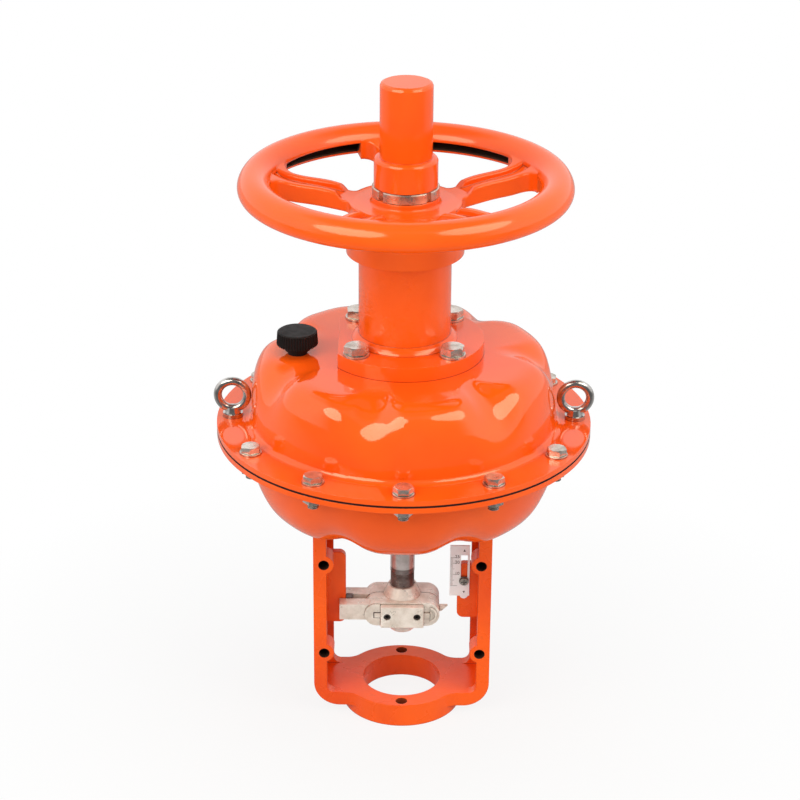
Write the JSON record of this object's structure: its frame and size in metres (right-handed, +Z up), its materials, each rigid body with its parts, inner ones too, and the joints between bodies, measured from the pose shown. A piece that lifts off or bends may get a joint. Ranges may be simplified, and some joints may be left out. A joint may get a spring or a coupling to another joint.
{
  "type": "pneumatic diaphragm actuator",
  "caption": "Spring diaphragm actuator with a seven-lobed round case, cast yoke, stem clamp and travel scale, and a top-mounted handwheel that overrides the stem.",
  "frame": {"origin": "centre of the yoke ring's underside, where the actuator seats on the valve bonnet", "axes": "+Z up along the stem axis towards the handwheel, -Y towards the yoke's front with the accessory bosses and the scale, +X to the right seen from the front"},
  "size_m": [0.2846, 0.28, 0.504],
  "materials": {
    "orange_paint": "gloss",
    "zinc_steel": "satin",
    "bright_steel": "polished",
    "dark_steel": "matte",
    "brass": "satin",
    "black_rubber": "matte",
    "black_plastic": "matte",
    "cast_steel": "satin",
    "scale_aluminium": "satin"
  },
  "bodies": {
    "frame": {"yoke": "orange_paint", "lower_case": "orange_paint", "diaphragm": "black_rubber", "upper_case": "orange_paint", "flange_bolts": "zinc_steel", "flange_washers": "zinc_steel", "flange_nuts": "zinc_steel", "lifting_eyes": "bright_steel", "bridge_bolts": "zinc_steel", "stem_guide": "brass", "neck": "orange_paint", "neck_bolts": "zinc_steel", "neck_washers": "zinc_steel", "vent_plug": "black_plastic", "scale_plate": "scale_aluminium", "scale_screw": "zinc_steel"},
    "stem_group": {"stem": "bright_steel", "stem_end": "dark_steel", "stem_cup": "dark_steel", "clamp_front": "cast_steel", "clamp_rear": "cast_steel", "clamp_block": "cast_steel", "clamp_screws": "zinc_steel", "clamp_disc": "cast_steel", "pointer": "cast_steel", "connector": "cast_steel"},
    "spindle_group": {"spindle": "bright_steel"},
    "wheel_group": {"handwheel": "orange_paint", "drive_nut": "brass", "lock_ring": "bright_steel", "cap": "orange_paint"}
  },
  "joints": [
    {"name": "stem_slide", "type": "slide", "parent": "frame", "child": "stem_group", "axis": [0, 0, 1], "range_m": [0, 0.025], "stiffness_N_per_m": 8000, "springref_m": -0.02},
    {"name": "wheel_turn", "type": "hinge", "parent": "frame", "child": "wheel_group", "pos_m": [0, 0, 0.4], "axis": [0, 0, 1], "range_deg": [0, 1800]},
    {"name": "spindle_lift", "type": "slide", "parent": "frame", "child": "spindle_group", "axis": [0, 0, 1], "range_m": [0, 0.025]}
  ],
  "couplings": [
    {"joint": "spindle_lift", "follows": "wheel_turn", "m_per_rad": 0.00079577}
  ]
}
